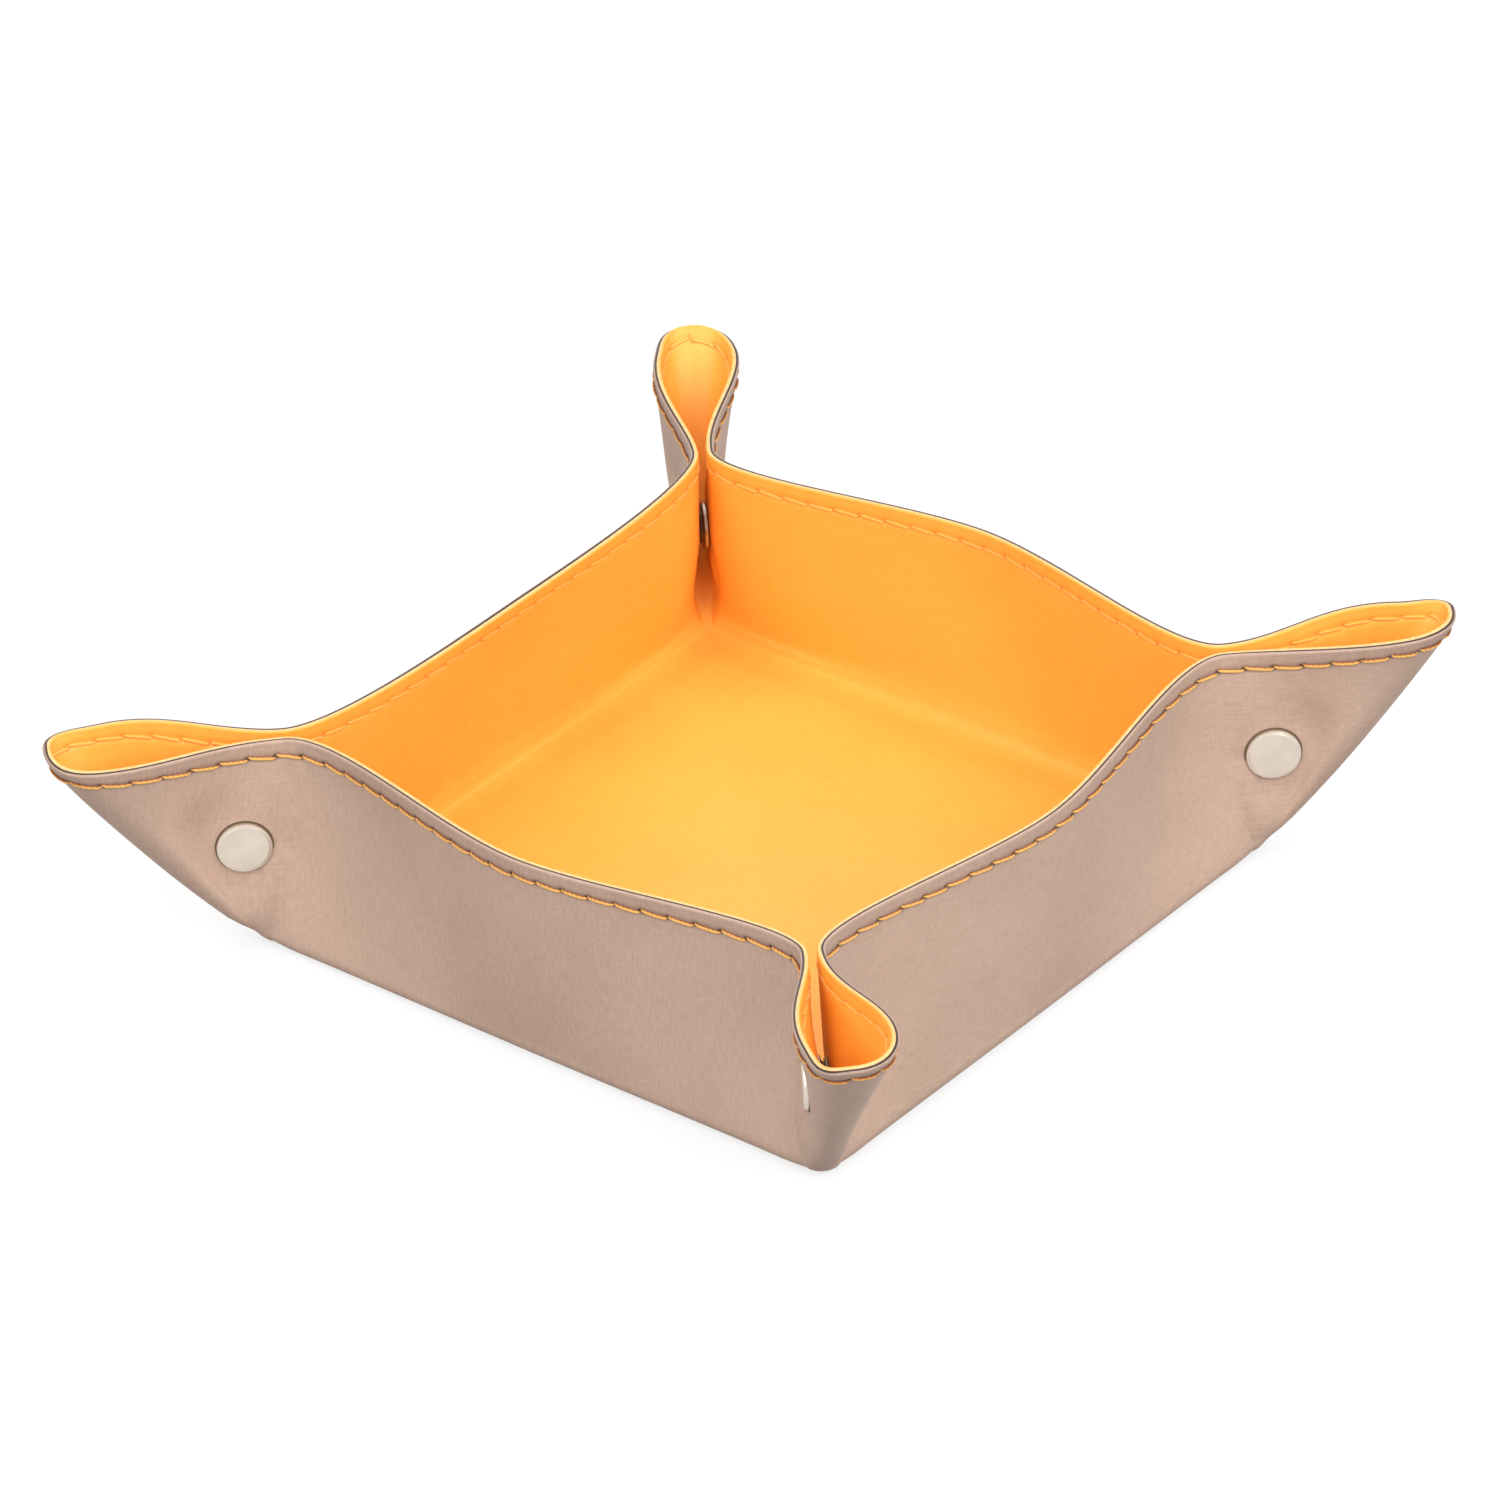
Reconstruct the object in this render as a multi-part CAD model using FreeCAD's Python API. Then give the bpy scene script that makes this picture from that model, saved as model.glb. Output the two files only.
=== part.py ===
"""Snap-corner valet tray, folded up. Millimetres, +Z up, origin under the middle of the base.

The two sheets meet on one "bond" surface. It is drawn for one wall in wall coordinates (u along the wall,
o outwards from the base edge, z up from the underside) and for one corner in corner coordinates (e outwards
along the diagonal, n across it, both from the base corner). Three guide curves carry it: the foot, the snap
height and the rim. Each guide runs from the middle of a wall to the crease, the bulge and the tip of the ear.
"""
import FreeCAD
import Part
import math
import os

V = FreeCAD.Vector

# sheets and base
BASE_SIDE = 121.0
OUTER_THICK = 0.7
LINER_THICK = 0.7
BOARD_THICK = 0.8
BOARD_MARGIN = 2.5
BOARD_RAMP = 1.6
FOLD_REACH = 3.0

# rim of the sheet, heights above the underside of the base
RIM_MIDDLE_Z = 39.5
RIM_CREASE_Z = 41.0
RIM_BULGE_Z = 42.6
RIM_TIP_Z = 43.0
WALL_LEAN = {"front": 1.5, "right": 0.0, "back": 2.4, "left": -7.0}
WALL_BELLY = 0.5

# ear, measured from the base corner along (E) and across (N) the diagonal
CREASE_E = -6.3
CREASE_N = 1.4
BULGE_E = 23.0
BULGE_N = 7.3
TIP_E = 31.4
BULGE_FOOT_SHARE = 0.92
SNAP_FLAT_SHARE = 0.6
BULGE_TURN_DEG = -8.0
BULGE_TURN_SNAP_DEG = 18.0

# how far each guide curve keeps its direction from the wall middle, crease, bulge and tip
WALL_REACH = 26.0
CREASE_WALL_REACH = 7.0
CREASE_EAR_REACH = 10.7
BULGE_IN_REACH = 10.3
BULGE_OUT_REACH = 6.15
TIP_REACH = 3.0
CREASE_SNAP_REACH = 12.0
BULGE_SNAP_REACH = 3.0
TIP_SNAP_REACH = 3.0

# snaps
SNAP_E = 1.5
SNAP_Z = 20.3
SNAP_FLAT_R = 4.9
SNAP_FLAT_BLEND = 10.0
CAP_R = 4.9
CAP_THICK = 1.0
CAP_BEVEL = 0.35
POST_R = 1.5
SOCKET_R = 4.2
SOCKET_THICK = 1.45
SOCKET_BORE_R = 2.2
SOCKET_FLOOR = 0.35
STUD_R = 3.6
STUD_THICK = 0.45
STUD_NUB_R = 1.85
STUD_NUB_LENGTH = 0.95
SNAP_BEVEL = 0.2

# clearances
SEAM = 0.3
FOLD_SEAM = 0.55
NOSE_SEAM_LOW = 1.35
TIP_LOW_Z = 9.0
RIDGE_SEAM = 0.45
FIT = 0.06

WALLS = ("front", "right", "back", "left")
ENDS = {"left": -1, "right": 1}

# bond surface
bond_half = BASE_SIDE / 2 - OUTER_THICK
flat_half = bond_half - FOLD_REACH
along = V(1, 0, 0)
outwards = V(0, 1, 0)
diagonal = (along + outwards).normalize()
across = (outwards - along).normalize()
corner = V(bond_half, 0, OUTER_THICK)
corner_centre = corner - (along + outwards) * FOLD_REACH


def ear_point(e, n, z):
    """Wall coordinates of a point given in corner coordinates."""
    point = corner + diagonal * e + across * n
    return V(point.x, point.y, z)


def heading(degrees):
    """Direction turned from the diagonal towards the wall."""
    turn = math.radians(degrees)
    return diagonal * math.cos(turn) + across * math.sin(turn)


def foot_corner(share):
    """Point and direction on the round base corner, share 0 at the wall and 1 on the diagonal."""
    turn = math.radians(45) * share
    out = along * math.sin(turn) + outwards * math.cos(turn)
    return corner_centre + out * FOLD_REACH, along * math.cos(turn) - outwards * math.sin(turn)


def arc_reach(share):
    """Curve handle that draws this share of the round base corner."""
    return FOLD_REACH * 4 / 3 * math.tan(math.radians(45) * share / 4)


def make_guides(lean):
    """Foot, snap-height and rim guides of one wall: four knots and the handles of the three spans between them."""
    foot = [(V(0, 0, OUTER_THICK), along), (V(flat_half, 0, OUTER_THICK), along),
            foot_corner(BULGE_FOOT_SHARE), foot_corner(1)]
    rim = [(V(0, lean, RIM_MIDDLE_Z), along),
           (ear_point(CREASE_E, CREASE_N, RIM_CREASE_Z), diagonal),
           (ear_point(BULGE_E, BULGE_N, RIM_BULGE_Z), heading(BULGE_TURN_DEG)),
           (ear_point(TIP_E, 0, RIM_TIP_Z), across * -1)]
    middles = [(low[0] + high[0]) / 2 for low, high in zip(foot, rim)]
    middles[0] = V(0, lean / 2 + WALL_BELLY, SNAP_Z)
    snap = list(zip(middles, (along, diagonal, heading(BULGE_TURN_SNAP_DEG), across * -1)))
    nose_share = 1 - BULGE_FOOT_SHARE
    wall = (WALL_REACH, CREASE_WALL_REACH)
    return [(foot, [wall, (arc_reach(BULGE_FOOT_SHARE),) * 2, (arc_reach(nose_share),) * 2]),
            (snap, [wall, (CREASE_SNAP_REACH, BULGE_SNAP_REACH), (BULGE_SNAP_REACH, TIP_SNAP_REACH)]),
            (rim, [wall, (CREASE_EAR_REACH, BULGE_IN_REACH), (BULGE_OUT_REACH, TIP_REACH)])]


def on_guide(guide, s):
    """Point of a guide; s runs 0 wall middle, 1 crease, 2 bulge, 3 tip."""
    knots, handles = guide
    span = min(int(s), len(handles) - 1)
    f = s - span
    g = 1 - f
    (start, leave), (end, arrive) = knots[span], knots[span + 1]
    first = start + leave * handles[span][0]
    second = end - arrive * handles[span][1]
    return start * g**3 + first * 3 * g * g * f + second * 3 * g * f * f + end * f**3


def smooth(x):
    x = min(max(x, 0), 1)
    return x * x * (3 - 2 * x)


def snap_half_gap():
    """Distance of the bond surface from the diagonal plane at the snap."""
    return (FOLD_REACH / math.sqrt(2) + CREASE_N) / 2


def press_flat(point, s):
    """The ear half is flat round its snap, and free again at its crease and its bulge."""
    offset = point - corner
    e, n = offset.dot(diagonal), offset.dot(across)
    away = math.hypot(e - SNAP_E, point.z - SNAP_Z)
    pressed = 1 - smooth((away - SNAP_FLAT_R) / SNAP_FLAT_BLEND)
    pressed = pressed * smooth((2 - s) / SNAP_FLAT_SHARE)
    return point + across * (snap_half_gap() - n) * pressed


def bond(guides, s, t):
    """Bond surface; t runs 0 middle of the bottom fold, 1 end of the fold, 2 rim."""
    side = -1 if s < 0 else 1
    s = abs(s)
    foot, snap, rim = (on_guide(guide, s) for guide in guides)
    rise = (snap - foot).normalize() * FOLD_REACH
    if t < 1:
        inset = V(min(foot.x, flat_half), -FOLD_REACH, OUTER_THICK)
        middle = (inset + foot * 3 + rise) / 4
        point = middle * (1 - t)**2 + (foot + rise / 2) * 2 * t * (1 - t) + (foot + rise) * t * t
    else:
        k = t - 1
        point = (foot + rise) * (1 - k) * (1 - 2 * k) + snap * 4 * k * (1 - k) + rim * k * (2 * k - 1)
    if s > 1:
        point = press_flat(point, s)
    return V(point.x * side, point.y, point.z)


def sheet_point(guides, s, t, offset):
    """Point at a distance outside (+) or inside (-) the bond surface."""
    step = 0.001
    ds = bond(guides, min(s + step, 3), t) - bond(guides, max(s - step, -3), t)
    dt = bond(guides, s, min(t + step, 2)) - bond(guides, s, max(t - step, 0))
    return bond(guides, s, t) + dt.cross(ds).normalize() * offset


def to_world(point):
    """Wall coordinates of the front wall to the shared frame."""
    return V(point.x, -bond_half - point.y, point.z)


def spread(start, end, count):
    return [start + (end - start) * i / (count - 1) for i in range(count)]


def closed_solid(faces):
    shell = Part.makeShell(faces)
    shell.sewShape()
    solid = Part.makeSolid(shell)
    if solid.Volume < 0:
        solid.reverse()
    return solid


def panel(guides, columns, t_values, inner, outer):
    """Solid piece of sheet between two offsets from the bond surface; each column has an s for each t."""
    skins = []
    for offset in (inner, outer):
        skin = Part.BSplineSurface()
        skin.interpolate([[to_world(sheet_point(guides, s, t, offset)) for s, t in zip(column, t_values)]
                          for column in columns])
        skins.append(skin)
    faces = [skin.toShape() for skin in skins]
    rims = []
    for skin in skins:
        u0, u1, v0, v1 = skin.bounds()
        rims.append([skin.uIso(u0), skin.uIso(u1), skin.vIso(v0), skin.vIso(v1)])
    for low, high in zip(*rims):
        faces.append(Part.makeRuledSurface(low.toShape(), high.toShape()))
    return closed_solid(faces)


def span_gap(guide_handle, gap):
    """Step in s that leaves a gap beside a knot whose handle is known."""
    return gap / (3 * guide_handle)


def beside_bulge(guides, t, side):
    """The s at half the nose seam before (-1) or after (+1) the bulge; the seam widens downwards."""
    half_gap = (SEAM + (NOSE_SEAM_LOW - SEAM) * (2 - t)) / 2
    step = 0
    while (bond(guides, 2 + side * step, t) - bond(guides, 2, t)).Length < half_gap:
        step += 0.001
    return 2 + side * step


def columns_between(starts, ends, count):
    """Columns of s between two edges that are given at each t."""
    return [[start + (end - start) * share for start, end in zip(starts, ends)] for share in spread(0, 1, count)]


def placed(shape, wall):
    """Turn a piece of the front wall to another wall."""
    turned = shape.copy()
    turned.rotate(V(0, 0, 0), V(0, 0, 1), 90 * WALLS.index(wall))
    return turned


def mirrored(shape, end):
    """A piece drawn for the right-hand end of a wall, at either end."""
    return shape if end == "right" else shape.mirror(V(0, 0, 0), V(1, 0, 0))


# base: flat sheets, half of the bottom fold along each edge and the whole fold round each corner
def fold_profile(inner, outer, share):
    """Section of the bottom fold in the plane y = 0, up to this share of the bend."""
    curves = []
    for offset in (inner, outer):
        points = []
        for f in spread(0, share, 6):
            bend = V(flat_half + FOLD_REACH * (2 * f - f * f), 0, OUTER_THICK + FOLD_REACH * f * f)
            slope = V(1 - f, 0, f).normalize()
            points.append(bend + V(slope.z, 0, -slope.x) * offset)
        curve = Part.BSplineCurve()
        curve.interpolate(points)
        curves.append(curve)
    low, high = curves
    ends = [Part.makeLine(low.StartPoint, high.StartPoint), Part.makeLine(low.EndPoint, high.EndPoint)]
    return Part.Face(Part.Wire(Part.__sortEdges__([low.toShape(), high.toShape()] + ends)))


def slab(half, low, high):
    return Part.makeBox(2 * half, 2 * half, high - low, V(-half, -half, low))


def base_sheet(inner, outer):
    lip = fold_profile(inner, outer, 0.5)
    cup = fold_profile(inner, outer, 1)
    lip.translate(V(0, -flat_half, 0))
    edge = lip.extrude(V(0, 2 * flat_half, 0))
    cup.translate(V(0, flat_half, 0))
    round_corner = cup.revolve(V(flat_half, flat_half, 0), V(0, 0, 1), 90)
    sheet = slab(flat_half, OUTER_THICK - outer, OUTER_THICK - inner)
    for wall in WALLS:
        sheet = sheet.fuse([placed(edge, wall), placed(round_corner, wall)])
    return sheet.removeSplitter()


def base_nodes():
    board_half = flat_half - BOARD_MARGIN
    board = slab(board_half, OUTER_THICK, OUTER_THICK + BOARD_THICK)
    top = OUTER_THICK + LINER_THICK
    squares = []
    for half, z in ((board_half + BOARD_RAMP, top), (board_half, top + BOARD_THICK)):
        corners = [V(x * half, y * half, z) for x, y in ((-1, -1), (1, -1), (1, 1), (-1, 1), (-1, -1))]
        squares.append(Part.makePolygon(corners))
    pad = Part.makeLoft(squares, True, True)
    liner = base_sheet(-LINER_THICK, 0).fuse(pad).cut(board).removeSplitter()
    return {"base_outer": base_sheet(0, OUTER_THICK), "base_board": board, "base_liner": liner}


# snaps, drawn on the Z axis and set across the diagonal at the right-hand end of the front wall
def disc(radius, low, high):
    return Part.makeCylinder(radius, high - low, V(0, 0, low))


def bevelled(shape, size, z):
    rims = [edge for edge in shape.Edges
            if isinstance(edge.Curve, Part.Circle) and abs(edge.BoundBox.ZMin - z) < FIT / 10
            and abs(edge.BoundBox.ZMax - z) < FIT / 10]
    return shape.makeChamfer(size, rims)


def snap_solids():
    """Cap with its post, socket and stud; z is the distance from the diagonal plane, towards the wall."""
    gap = snap_half_gap()
    face = gap + OUTER_THICK + FIT
    back = gap - LINER_THICK - FIT
    cap = bevelled(disc(CAP_R, face, face + CAP_THICK), CAP_BEVEL, face + CAP_THICK)
    post = disc(POST_R, back, face)
    socket_end = back - SOCKET_THICK
    socket = disc(SOCKET_R, socket_end, back).cut(disc(SOCKET_BORE_R, socket_end, back - SOCKET_FLOOR))
    socket = bevelled(socket, SNAP_BEVEL, socket_end)
    stud = disc(STUD_R, back - STUD_THICK, back)
    nub_end = back - STUD_THICK - STUD_NUB_LENGTH
    nub = bevelled(disc(STUD_NUB_R, nub_end, back - STUD_THICK), SNAP_BEVEL, nub_end)
    return {"cap": cap.fuse(post), "socket": socket, "stud": stud.fuse(nub), "hole": disc(POST_R + FIT, 0, face)}


def across_diagonal(shape):
    """Z of the drawing becomes the across direction of the front wall's right-hand corner."""
    middle = to_world(ear_point(SNAP_E, 0, SNAP_Z))
    shape = shape.copy()
    shape.rotate(V(0, 0, 0), V(1, 0, 0), 90)
    shape.rotate(V(0, 0, 0), V(0, 0, 1), -45)
    shape.translate(middle)
    return shape


def wall_nodes():
    nodes = {}
    reach = 1 - span_gap(CREASE_WALL_REACH, SEAM)
    s_values = [reach * math.sin(math.pi / 2 * x) for x in spread(-1, 1, 25)]
    t_values = [FOLD_SEAM / FOLD_REACH] + spread(1, 2, 15)
    columns = [[s] * len(t_values) for s in s_values]
    for wall in WALLS:
        guides = make_guides(WALL_LEAN[wall])
        for layer, inner, outer in LAYERS:
            nodes[f"{wall}_{layer}"] = placed(panel(guides, columns, t_values, inner, outer), wall)
    return nodes


def ear_nodes():
    guides = make_guides(0)
    flap_t = spread(1 + SEAM / RIM_CREASE_Z, 2, 9)
    tip_t = spread(1 + (TIP_LOW_Z - FOLD_REACH) / RIM_BULGE_Z, 2, 9)
    flap_s = columns_between([1 + span_gap(CREASE_EAR_REACH, SEAM)] * len(flap_t),
                             [beside_bulge(guides, t, -1) for t in flap_t], 15)
    tip_s = columns_between([beside_bulge(guides, t, 1) for t in tip_t],
                            [3 - span_gap(TIP_REACH, RIDGE_SEAM)] * len(tip_t), 9)
    snaps = {name: across_diagonal(shape) for name, shape in snap_solids().items()}
    drawn = {}
    for layer, inner, outer in LAYERS:
        drawn["flap", layer] = panel(guides, flap_s, flap_t, inner, outer).cut(snaps["hole"])
        drawn["tip", layer] = panel(guides, tip_s, tip_t, inner, outer)
    nodes = {}
    for wall in WALLS:
        for end in ENDS:
            for (piece, layer), shape in drawn.items():
                nodes[f"{wall}_{piece}_{end}_{layer}"] = placed(mirrored(shape, end), wall)
            nodes[f"{wall}_cap_{end}"] = placed(mirrored(snaps["cap"], end), wall)
        nodes[f"{wall}_socket"] = placed(snaps["socket"], wall)
        nodes[f"{wall}_stud"] = placed(mirrored(snaps["stud"], "left"), wall)
    return nodes


LAYERS = (("outer", 0, OUTER_THICK), ("liner", -LINER_THICK, 0))
os.makedirs("parts", exist_ok=True)
for nodes in (base_nodes(), wall_nodes(), ear_nodes()):
    for name, shape in nodes.items():
        if shape.ShapeType == "Compound" and len(shape.Solids) == 1:
            shape = shape.Solids[0]
        shape.exportStep(f"parts/{name}.step")
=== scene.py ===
"""Snap-corner valet tray, dressed: two glued leatherette sheets, their stitching, painted rim and snaps.

The sheets follow the bond surface of the solids, with the rims and ears hung as in the photo. Shapes are
worked out in millimetres in wall coordinates (along the wall, outwards, up) and turned and scaled into the
shared frame when a mesh is made. A place on a wall's sheet is (s, t): s runs from the middle of the wall, 0,
out to the ears' tips, and t from the base up to the rim.
"""
import math
import bpy
import numpy as np
from mathutils import Matrix


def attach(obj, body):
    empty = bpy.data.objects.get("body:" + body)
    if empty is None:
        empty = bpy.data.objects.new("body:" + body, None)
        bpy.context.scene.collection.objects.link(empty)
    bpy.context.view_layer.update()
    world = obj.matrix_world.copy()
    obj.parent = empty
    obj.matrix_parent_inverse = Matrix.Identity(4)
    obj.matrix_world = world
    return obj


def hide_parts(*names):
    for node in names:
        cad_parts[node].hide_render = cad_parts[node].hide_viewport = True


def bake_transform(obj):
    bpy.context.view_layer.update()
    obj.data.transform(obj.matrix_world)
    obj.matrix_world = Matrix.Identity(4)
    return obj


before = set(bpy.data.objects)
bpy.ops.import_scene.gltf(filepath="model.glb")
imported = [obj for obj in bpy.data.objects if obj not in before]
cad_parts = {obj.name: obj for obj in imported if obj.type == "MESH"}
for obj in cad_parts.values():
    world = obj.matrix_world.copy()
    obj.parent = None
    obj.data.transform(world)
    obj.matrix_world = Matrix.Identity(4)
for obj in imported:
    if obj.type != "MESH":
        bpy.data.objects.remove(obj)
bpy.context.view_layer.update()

MM = 0.001
TINY = 1e-9
WALLS = ("front", "right", "back", "left")
ENDS = {"left": -1, "right": 1}

# places on a wall's sheet: s at the crease, the bulge and the tip of an ear; t at the edge of the flat base,
# the middle of the bottom fold, the end of the fold and the rim
S_CREASE, S_BULGE, S_TIP = 1, 2, 3
T_BASE, T_FOLD, T_WALL, T_RIM = -1, 0, 1, 2

# sheets, base and bottom fold
BASE_SIDE = 121.0
OUTER_THICK = 0.7
LINER_THICK = 0.7
THICK = {"outer": OUTER_THICK, "liner": LINER_THICK}
FACE_SIDE = {"outer": 1, "liner": -1}
BOARD_RAMP = 7.0
BOARD_SHOW = 0.4
FOLD_REACH = 3.0
FOLD_ARC_SHARE = 0.8
FOLD_SQUARE = 0.5
FOLD_FILL = 0.8
FOLD_FILL_HIGH = 3.4

# rim heights, and how far each wall's rim leans out in its middle
RIM_MIDDLE_Z = {"front": 40.7, "right": 39.4, "back": 39.5, "left": 39.2}
RIM_CREASE_Z = 39.9
RIM_BULGE_Z = 42.6
RIM_TIP_Z = 43.0
WALL_LEAN = {"front": 3.2, "right": 1.7, "back": 3.0, "left": -8.7}
WALL_BELLY = 0.5

# ear, measured from the base corner along (E) and across (N) the diagonal
CREASE_E = -6.3
CREASE_N = 1.4
BULGE_E = 23.0
BULGE_N = 7.3
TIP_E = 31.4
BULGE_FOOT_SHARE = 0.6
SNAP_FLAT_SHARE = 0.6
SNAP_START_SHARE = 0.12
BULGE_TURN_DEG = -8.0
BULGE_TURN_SNAP_DEG = 18.0

# how each ear hangs away from the plain shape, in millimetres at its tip; an ear is named by the wall whose
# right-hand end it is on, near is that wall's half and far the next wall's
EAR_SWAY = {"front": -1.6, "right": -0.3, "back": 2.1, "left": -0.9}
EAR_LIFT = {"front": -0.5, "right": 0.9, "back": 0.0, "left": -1.0}
EAR_REACH = {"front": 0.3, "right": 0.5, "back": 0.0, "left": 1.2}
EAR_NEAR_WIDE = {"front": -1.6, "right": 1.0, "back": -0.1, "left": -2.4}
EAR_FAR_WIDE = {"front": 1.2, "right": -4.2, "back": -1.4, "left": 0.0}
EAR_NEAR_LIFT = {"front": -0.9, "right": 0.0, "back": -0.3, "left": 0.3}
EAR_FAR_LIFT = {"front": 0.3, "right": 0.1, "back": 0.1, "left": -1.3}
EAR_KEEL = {"front": 0.5, "right": 1.9, "back": 0.0, "left": 2.7}
EAR_NARROW_SHARES = {"front": 0.7, "right": 0.2, "back": 0.2, "left": 0.2}
NEAR_DIALS = (EAR_NEAR_WIDE, EAR_NEAR_LIFT)
FAR_DIALS = (EAR_FAR_WIDE, EAR_FAR_LIFT)

# where the ears hang free, the eased pinch below the snaps, the lifted base corner and the ears' blunt keels
EAR_FREE_E = -2.0
EAR_WIDEST_SHARE = 2
PINCH_EASE = 1.1
PINCH_EASE_E = -1.5
PINCH_EASE_WIDE = 6.0
CORNER_LIFT = 0.7
CORNER_LIFT_E = 7.0
TIP_BLUNT_SHARE = 0.4
KEEL_HIGH = 6.0
KEEL_START = 3.0
KEEL_WIDE = 5.0
KEEL_OUT_SHARE = 0.75
KEEL_DOWN_SHARE = 0.65
KEEL_CLEAR = 3.0

# curve handles of the guides
WALL_REACH = 17.0
CREASE_WALL_REACH = 9.2
CREASE_EAR_REACH = 10.7
BULGE_IN_REACH = 10.3
BULGE_OUT_REACH = 6.15
TIP_REACH = 4.0
CREASE_SNAP_REACH = 12.0
BULGE_SNAP_REACH = 3.0
TIP_SNAP_REACH = 3.0

# press snaps
SNAP_E = 1.5
SNAP_Z = 20.3
SNAP_FLAT_R = 4.9
SNAP_FLAT_BLEND = 10.0
CAP_R = 4.9
CAP_THICK = 1.0
POST_R = 1.5
SOCKET_R = 4.2
SOCKET_THICK = 1.45
SOCKET_BORE_R = 2.2
STUD_R = 3.6
STUD_THICK = 0.45
STUD_NUB_R = 1.85
STUD_NUB_LENGTH = 0.95
FIT = 0.06

# turned outlines, as shares of a radius and of a thickness, measured from the sheet
CAP_SHARES = ((0, 1), (0.449, 1), (0.796, 0.98), (0.847, 0.92), (0.878, 0.8), (0.908, 0.78), (0.939, 0.7),
              (0.955, 0.5), (0.959, 0.16), (1, 0.1), (1, 0))
# bands of the cap's foot, drawn in a much darker steel as painted shade where the cap meets the leather
CAP_FOOT_BANDS = range(8, 11)
SOCKET_SHARES = ((0, 0), (0.94, 0), (1, 0.172), (1, 0.483), (0.929, 0.655), (0.762, 0.724), (0.714, 0.945),
                 (0.679, 1), (0.595, 1))
BORE_SHARES = ((1.036, 0.917), (1, 0.759), (1.068, 0.586), (1.068, 0.241), (0, 0.241))
STUD_SHARES = ((0, 0), (0.972, 0), (1, 0.222), (1, 0.622), (0.944, 0.933), (0.583, 1))
NUB_SHARES = ((0.897, 0.126), (0.854, 0.368), (1, 0.642), (0.973, 0.832), (0.865, 0.958), (0.649, 1), (0, 1))
TURNED_SIDES = 72
TURNED_SHARP_DEG = 40

# stitching: each stitch is a cord whose ends dip into needle holes, a little different from its neighbours
STITCH_PITCH = 4.88
STITCH_MARGIN = 3.0
STITCH_SLANT = 0.24
STITCH_PROUD = {"outer": 0.24, "liner": -0.04}
STITCH_DIP = 0.3
STITCH_LENGTH_VARY_SHARE = 0.03
STITCH_SLANT_VARY_SHARE = 0.5
STITCH_DEPTH_VARY = 0.06
STITCH_SEED = 20
STITCH_STEPS = 13
THREAD_R = 0.29
THREAD_SHARES = {"outer": 1, "liner": 0.92}
THREAD_END_SHARE = 0.4
THREAD_WIDE_SHARE = 1.2
THREAD_HIGH_SHARE = 0.85
THREAD_SIDES = 8

# rounding of the rim, how the stitching presses into the two faces, painted shade in its holes and groove,
# and a darker band between it and the rim
EDGE_ROUND = {"outer": 0.5, "liner": 0.3}
EDGE_DROP = {"outer": 0.32, "liner": 0.2}
HOLE_R = 0.5
HOLE_DEEP = {"outer": 0.26, "liner": 0.2}
GROOVE_DEEP = {"outer": 0.1, "liner": 0.11}
GROOVE_PULL = {"outer": 0, "liner": 0.06}
GROOVE_WIDE = {"outer": 0.6, "liner": 0.7}
PUFF_HIGH = 0.05
PUFF_AWAY = {"outer": 1.2, "liner": 1.3}
PUFF_WIDE = {"outer": 0.7, "liner": 0.8}
STITCH_SHADE_R = 0.55
GROOVE_SHADE_SHARE = 0.35
RIM_DARK_SHARE = 0.14
RIM_DARK_REACH = 1.2

# where the sheet is cut between moving bodies, in s, and the bands in which it bends between them
STRIP_S = 0.7
NOSE_S = 1.6
NOSE_BEFORE = 2.2
NOSE_AFTER = 1.2
NOSE_STEP_S = 0.1
CREASE_BEFORE = 1.2
CREASE_BAND = 2.0
CREASE_HIGH_T = 1.5
FOLD_RISE_SHARE = 0.7

# steps of the measuring tables and of the slopes, in s or t
TABLE_STEPS = 1201
RISE_STEP = 0.01
BOND_STEP = 0.002
SKIN_STEP = 0.004

# rows and columns of the meshes: fine below the rim, even down the wall, fine again through the bottom fold
RIM_DEPTHS = (7.0, 5.6, 4.7, 4.1, 3.7, 3.4, 3.2, 3.0, 2.8, 2.6, 2.3, 1.9, 1.5, 1.1, 0.7,
              0.45, 0.3, 0.2, 0.1, 0.03, 0.0)
WALL_ROWS = 16
FOLD_ROWS = 7
COLUMN_STEP = 0.5
LEAST_COLUMNS = 8
BASE_STEPS = 28
RAMP_STEPS = 19
BASE_SHARP_DEG = 50

# camera, fitted to the photo in degrees, millimetres and pixels
PHOTO_PIXELS = 1500
CAMERA_AZIMUTH = 39.52
CAMERA_ELEVATION = 33.32
CAMERA_DISTANCE = 1736.3
CAMERA_FOCAL_PIXELS = 10374
CAMERA_ROLL = 2.21
ORIGIN_PIXEL = (763.07, 892.98)
SENSOR_MM = 36.0
CAMERA_CLIP_M = (0.05, 50)

# floor in metres, how it is lit and seen, and the strength of the room
FLOOR_HALF = 6.0
FLOOR_DROP = 0.0001
FLOOR_LIT_GREY = 0.22
FLOOR_SEEN_GREY = 0.28
FLOOR_GLOW = 0.72
ROOM_LIGHT = 0.24
ROOM_SEEN = 1.0

# lamps: place, target and side in metres, power in watts
LAMPS = {
    "overhead": ((-0.1, 0.1, 1.3), (0, 0, 0), 1.2, 8),
    "front_key": ((0.07, -1.26, 0.98), (0, 0, 0.02), 1.1, 16),
    "right_key": ((1.26, -0.05, 0.98), (0, 0, 0.02), 1.1, 19),
    "back_fill": ((-1.0, 1.0, 0.9), (0, 0, 0.02), 1.0, 5),
}
LAMP_STEEP_SHARE = 0.99

half_right_angle = math.radians(45)
bond_half = BASE_SIDE / 2 - OUTER_THICK
flat_half = bond_half - FOLD_REACH


def unit(v):
    return v / np.linalg.norm(v, axis=-1, keepdims=True)


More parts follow.
